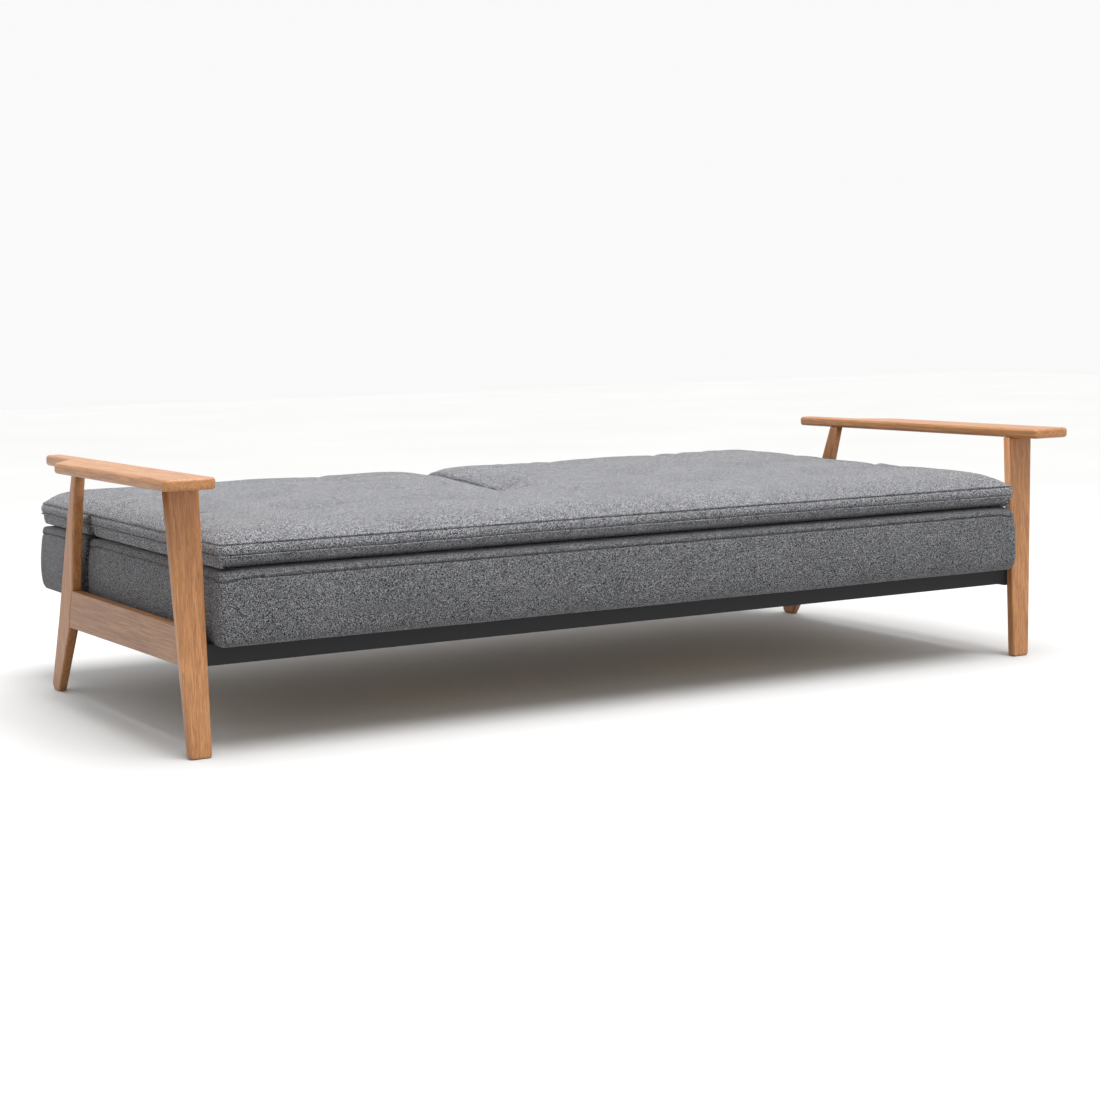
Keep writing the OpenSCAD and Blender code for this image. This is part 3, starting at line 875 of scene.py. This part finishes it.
def inflate(points, faces):
    """Puffs the top's cloth by simulation, held at its seams and tufts, and keeps a share of it."""
    sheet = new_object("settling_top", points, faces, CLOTH_TOPPER)
    group = sheet.vertex_groups.new(name="sewn")
    for index, weight in enumerate(border_weight(points)):
        if weight > 0:
            group.add([index], weight, "REPLACE")
    cloth_mod = sheet.modifiers.new("settle", "CLOTH")
    settings = cloth_mod.settings
    for key, value in {"quality": 6, "mass": 0.35, "tension_stiffness": 22, "compression_stiffness": 22,
                       "shear_stiffness": 9, "bending_stiffness": 0.9, "air_damping": 3.0,
                       "use_pressure": True, "uniform_pressure_force": 1.0, "shrink_min": -0.012,
                       "vertex_group_mass": "sewn"}.items():
        setattr(settings, key, value)
    settings.effector_weights.gravity = 0.0
    cloth_mod.collision_settings.use_collision = False
    cloth_mod.collision_settings.use_self_collision = False
    cloth_mod.point_cache.frame_start = 1
    cloth_mod.point_cache.frame_end = SETTLING_FRAMES
    scene = bpy.context.scene
    for step in range(1, SETTLING_FRAMES + 1):
        scene.frame_set(step)
    moved = sheet.evaluated_get(bpy.context.evaluated_depsgraph_get()).to_mesh()
    settled = np.zeros(len(points) * 3)
    moved.vertices.foreach_get("co", settled)
    settled = settled.reshape(-1, 3)
    sheet.modifiers.clear()
    bpy.data.objects.remove(sheet)
    scene.frame_set(1)
    shift = settled - points
    cap = 0.012                          # no point moves further than this
    size = np.linalg.norm(shift, axis=1)
    shift *= np.minimum(1.0, cap / np.maximum(size, 1e-9))[:, None]
    return points + shift * SETTLED_SHARE


def band_profile():
    """Inset and height of the rows down the topper's sewn edge."""
    low = TOPPER_LOW.z + 0.0010
    return [(0.0034, SEAM_Z - 0.0011), (-0.0004, SEAM_Z - 0.0033), (-0.0030, SEAM_Z - 0.0072),
            (-0.0040, SEAM_Z - 0.0122), (-0.0034, MID_SEAM_Z + 0.0066), (-0.0012, MID_SEAM_Z + 0.0036),
            (0.0010, MID_SEAM_Z + 0.0024), (-0.0042, MID_SEAM_Z + 0.0012), (-0.0042, MID_SEAM_Z - 0.0006),
            (0.0036, MID_SEAM_Z - 0.0020), (0.0056, MID_SEAM_Z - 0.0060), (0.0088, MID_SEAM_Z - 0.0105),
            (0.0132, EDGE_LOW_Z + 0.0042), (0.0175, EDGE_LOW_Z + 0.0012), (0.0225, EDGE_LOW_Z - 0.0008),
            (0.0330, low + 0.0015), (0.0450, low)]


def ring_of(grid):
    """Indices round the border of a grid, anticlockwise on the right half."""
    columns, rows = grid.shape
    ring = [(i, 0) for i in range(columns)]
    ring += [(columns - 1, j) for j in range(1, rows)]
    ring += [(i, rows - 1) for i in range(columns - 2, -1, -1)]
    ring += [(0, j) for j in range(rows - 2, 0, -1)]
    return ring


def edge_row(row, inset, z, flat, out, scale, top_z, joined, on_slit):
    """One row of the topper's edge. Where the halves are one cloth, all its points move alike."""
    base = np.column_stack([flat, np.full(len(flat), z)])
    wave = noise_at(base, 0.075, 41) * 0.0011 + noise_at(base, 0.024, 42) * 0.0004
    wave = np.where(joined, wave[0], np.where(on_slit, 0.0, wave))
    dip = noise_at(base, 0.11, 43) * 0.0013 * math.exp(-((z - MID_SEAM_Z) / 0.009) ** 2)
    dip = np.where(joined, dip[0], np.where(on_slit, 0.0, dip))
    pinch = np.where(np.abs(flat[:, 0]) > TOP_X - 0.004,
                     np.exp(-np.abs((flat[:, 1] - PINCH_Y) / 0.0085) ** 1.5), 0)
    depth = 0.0130 * float(smoothstep(SEAM_Z - 0.002, SEAM_Z - 0.011, z)) * pinch
    raised = 0.0060 * pinch * float(smoothstep(MID_SEAM_Z, EDGE_LOW_Z, z))
    at_end = np.abs(out[:, 0]) > 0.5
    blunt = np.where(at_end, 0.30 if z > EDGE_LOW_Z - 0.001 else 0.65, 1.0)
    sunk = np.where(at_end & (z < MID_SEAM_Z - 0.009), np.minimum(0.0045, z - UNDERSIDE_Z), 0.0)
    xy = flat - out * ((inset * (blunt if inset > 0 else 1.0) + depth + wave) * scale)[:, None]
    under_top = top_z - 0.0010 * (row + 1)
    return np.column_stack([xy, np.minimum(z - sunk, under_top) + raised + dip])


def topper_half(side, word, points, normals, grid, ys):
    """Closes one half of the topper: sewn top, boxed edge with two seams, flat underside."""
    columns, rows = grid.shape
    cells = [(i, j) for i in range(columns - 1) for j in range(rows - 1)]
    verts = [tuple(points[grid[i, j]]) for i in range(columns) for j in range(rows)]
    top_normals = [tuple(normals[grid[i, j]]) for i in range(columns) for j in range(rows)]
    faces = []

    def quad(a, b, c, d):
        faces.append((a, b, c, d) if side > 0 else (d, c, b, a))

    for i, j in cells:
        quad(i * rows + j, (i + 1) * rows + j, (i + 1) * rows + j + 1, i * rows + j + 1)
    ring = ring_of(grid)
    flat = np.array([verts[i * rows + j][:2] for i, j in ring])
    ahead = np.roll(flat, -1, axis=0) - np.roll(flat, 1, axis=0)
    out = np.column_stack([ahead[:, 1], -ahead[:, 0]]) * side
    out /= np.maximum(np.linalg.norm(out, axis=1), 1e-9)[:, None]
    joined = np.array([i == 0 and ys[j] < SLIT_END_Y + 0.004 for i, j in ring])
    on_slit = np.array([i == 0 and not joined[k] for k, (i, j) in enumerate(ring)])
    scale = np.where(on_slit, 0.30, 1.0)
    still = np.clip(1 - (flat[:, 1] - TOP_FRONT) / (SLIT_END_Y - TOP_FRONT), 0, 1)
    out[joined] = (0.0, -1.0)
    scale[joined] = still[joined]
    previous = [i * rows + j for i, j in ring]
    top_z = np.array([verts[i * rows + j][2] for i, j in ring])
    for row, (inset, z) in enumerate(band_profile()):
        start = len(verts)
        verts += [tuple(p) for p in edge_row(row, inset, z, flat, out, scale, top_z, joined, on_slit)]
        for k in range(len(ring)):
            n = (k + 1) % len(ring)
            quad(previous[k], start + k, start + n, previous[n])
        previous = list(range(start, start + len(ring)))
    under = {}
    middle = (TOP_FRONT + TOP_REAR) / 2
    shrink = 0.050                       # the underside's flat part stays this far inside the edge
    for i in range(1, columns - 1):
        for j in range(1, rows - 1):
            p = verts[i * rows + j]
            x = p[0] * (TOP_X - shrink) / TOP_X
            y = middle + (p[1] - middle) * (1 - shrink / (middle - TOP_FRONT))
            under[i, j] = len(verts)
            verts.append((x, y, UNDERSIDE_Z))
    for k, (i, j) in enumerate(ring):
        under[i, j] = previous[k]
    for i, j in cells:
        quad(under[i, j], under[i, j + 1], under[i + 1, j + 1], under[i + 1, j])
    obj = new_object(f"topper_{word}", verts, faces, CLOTH_TOPPER)
    shade_joined(obj, top_normals, ys)
    return obj, ring


def shade_joined(obj, top_normals, ys):
    """Gives both halves the same normals along the line where they are one cloth."""
    mesh = obj.data
    mesh.update()
    normals = [tuple(v.normal) for v in mesh.vertices]
    rows = len(ys)
    for i in range(3):
        for j in range(1, rows - 1):
            if ys[j] < SLIT_END_Y:
                normals[i * rows + j] = top_normals[i * rows + j]
    mesh.normals_split_custom_set_from_vertices(normals)


# ---- stitches ----

def stitches(name, path, ups, pitch, radius):
    """A row of thread stitches along a path, as small tapered grains."""
    verts, faces = [], []
    steps = np.linalg.norm(np.diff(path, axis=0), axis=1)
    travel = np.concatenate([[0], np.cumsum(steps)])

    def at(distance, values):
        return np.array([np.interp(distance, travel, values[:, c]) for c in range(3)])

    for s in np.arange(pitch / 2, travel[-1], pitch):
        a, b = at(s - STITCH / 2, path), at(s + STITCH / 2, path)
        up = at(s, ups)
        along = (b - a) / max(np.linalg.norm(b - a), 1e-9)
        across = np.cross(along, up)
        start = len(verts)
        quarter = (b - a) / 4
        verts.append(a - up * radius * 0.6)
        for centre in (a + quarter, b - quarter):
            for angle in range(0, 360, 60):
                c, q = math.cos(math.radians(angle)), math.sin(math.radians(angle))
                verts.append(centre + (across * c + up * q) * radius)
        verts.append(b - up * radius * 0.6)
        for k in range(6):
            n = (k + 1) % 6
            faces.append((start, start + 1 + n, start + 1 + k))
            faces.append((start + 1 + k, start + 1 + n, start + 7 + n, start + 7 + k))
            faces.append((start + 13, start + 7 + k, start + 7 + n))
    return new_object(name, verts, faces, THREAD_WITH_SEAM_SHADE)


def bend(obj):
    """Bakes a piece of the topper's placement into its mesh."""
    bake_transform(obj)


def topper_thread(name, path, ups, lift, radius=THREAD_RADIUS):
    """A row of stitches on the topper, lying a little above its cloth."""
    row = stitches(name, path + ups * lift, ups, TOPPER_PITCH, radius)
    bend(row)


def topper():
    """The topper: one sewn top over seat and back, made as two halves."""
    points, faces, grids, ys = build_top()
    points = inflate(points, faces)
    shape = new_object("whole_top", points, faces, CLOTH_TOPPER)
    shape.data.update()
    normals = np.zeros(len(points) * 3)
    shape.data.vertices.foreach_get("normal", normals)
    normals = normals.reshape(-1, 3)
    bpy.data.objects.remove(shape)
    for side, word in SIDES:
        grid = grids[side]
        obj, ring = topper_half(side, word, points, normals, grid, ys)
        nodes = [f"back_topper_{word}"] + (["seat_topper"] if side > 0 else [])
        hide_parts(*nodes)
        bend(obj)
        tuck_stitches(side, word, points, normals, grid, ys)
        edge_stitches(word, obj, ring, grid)
        slit_stitches(side, word, points, normals, grid, ys)


def tuck_stitches(side, word, points, normals, grid, ys):
    """Short rows of stitches in the tufts that lie on this half."""
    for index, (tx, ty) in enumerate(TUFTS):
        if tx * side < 0:
            continue
        j = int(np.argmin(np.abs(ys - ty)))
        line = points[grid[:, j]]
        low = -TUFT_HALF if tx else 0.0
        slack = 0.004
        keep = line[:, 0] * side > abs(tx) + low - slack
        keep &= line[:, 0] * side < abs(tx) + TUFT_HALF + slack
        keep &= np.abs(line[:, 1] - ty) < slack
        path = line[keep]
        if len(path) < 3:
            continue
        ups = normals[grid[:, j]][keep]
        topper_thread(f"tuft_thread_{word}_{index}", path, ups, 0.0004, 0.0007)


def edge_stitches(word, obj, ring, grid):
    """Stitches in the two seams round the outside of the topper."""
    columns, rows = grid.shape
    count = columns * rows
    outer = [k for k, (i, j) in enumerate(ring) if not (i == 0 and j not in (0, rows - 1))]
    coords = np.array([tuple(v.co) for v in obj.data.vertices])
    normals = np.array([tuple(v.normal) for v in obj.data.vertices])
    size = len(ring)
    for label, row in (("top", 0), ("mid", 6)):
        index = [count + row * size + k for k in outer]
        topper_thread(f"seam_thread_{label}_{word}", coords[index], normals[index], 0.0002)


def slit_stitches(side, word, points, normals, grid, ys):
    """A row of stitches beside the slit, and on the right a short one across its end."""
    beside = grid[2, ys > SLIT_END_Y + 0.008]
    rows = {"beside": beside}
    if side > 0:
        across = grid[:, int(np.argmin(np.abs(ys - SLIT_END_Y)))]
        rows["across"] = across[np.abs(points[across, 0]) < 0.062]
    for label, index in rows.items():
        topper_thread(f"slit_thread_{label}_{word}", points[index], normals[index], 0.0003)


# ---- floor, light and camera ----

def stage():
    """A plain floor, just under the feet."""
    size, z = 14.0, -0.0005
    verts = [(-size, -size, z), (size, -size, z), (size, size, z), (-size, size, z)]
    floor = new_object("studio_floor", verts, [(0, 1, 2, 3)], pale_floor("pale_floor"))


def area_light(name, location, target, size, power):
    light = bpy.data.lights.new(name, "AREA")
    light.shape = "RECTANGLE"
    light.size, light.size_y = size
    light.energy = power
    obj = linked(name, light)
    obj.location = location
    obj.rotation_euler = (Vector(target) - Vector(location)).to_track_quat("-Z", "Y").to_euler()


def lights():
    """White surroundings, a broad soft sun and one large light overhead."""
    scene = bpy.context.scene
    scene.view_settings.view_transform = "Standard"
    world = bpy.data.worlds.new("studio")
    scene.world = world
    world.use_nodes = True
    background = world.node_tree.nodes["Background"]
    background.inputs["Color"].default_value = (1.0, 1.0, 1.0, 1)
    background.inputs["Strength"].default_value = 0.95
    sun = bpy.data.lights.new("key", "SUN")
    sun.energy = 2.9
    sun.angle = 0.62
    sun.color = (1.0, 0.99, 0.975)
    key = linked("key", sun)
    key.rotation_euler = Vector((-0.10, 0.62, -1.6)).to_track_quat("-Z", "Y").to_euler()
    area_light("top", (0.0, -0.2, 3.4), (0, 0.0, 0.4), (3.2, 1.6), 75)


def camera():
    """The photograph's viewing angle, from the front left a little above the armrests."""
    yaw, pitch, roll = 0.5147, 0.1166, -0.0155
    ahead = Vector((math.sin(yaw) * math.cos(pitch), math.cos(yaw) * math.cos(pitch),
                    -math.sin(pitch)))
    level = Vector((math.cos(yaw), -math.sin(yaw), 0.0))
    over = level.cross(ahead)
    right = level * math.cos(roll) + over * math.sin(roll)
    up = over * math.cos(roll) - level * math.sin(roll)
    data = bpy.data.cameras.new("camera")
    data.sensor_width = 36.0
    data.lens = 70.82
    data.shift_x = 0.0545
    data.clip_end = 100.0
    obj = linked("camera", data)
    place = Matrix((right, up, -ahead)).transposed().to_4x4()
    place.translation = Vector((-2.6917, -4.5357, 0.9148))
    obj.matrix_world = place
    bpy.context.scene.camera = obj


for side, word in SIDES:
    armrest(side, word)
    front_leg(side, word)
    rear_leg(side, word)
    side_rail(side, word)
hard_parts()
carry_over()
boxes()
topper()
stage()
lights()
camera()
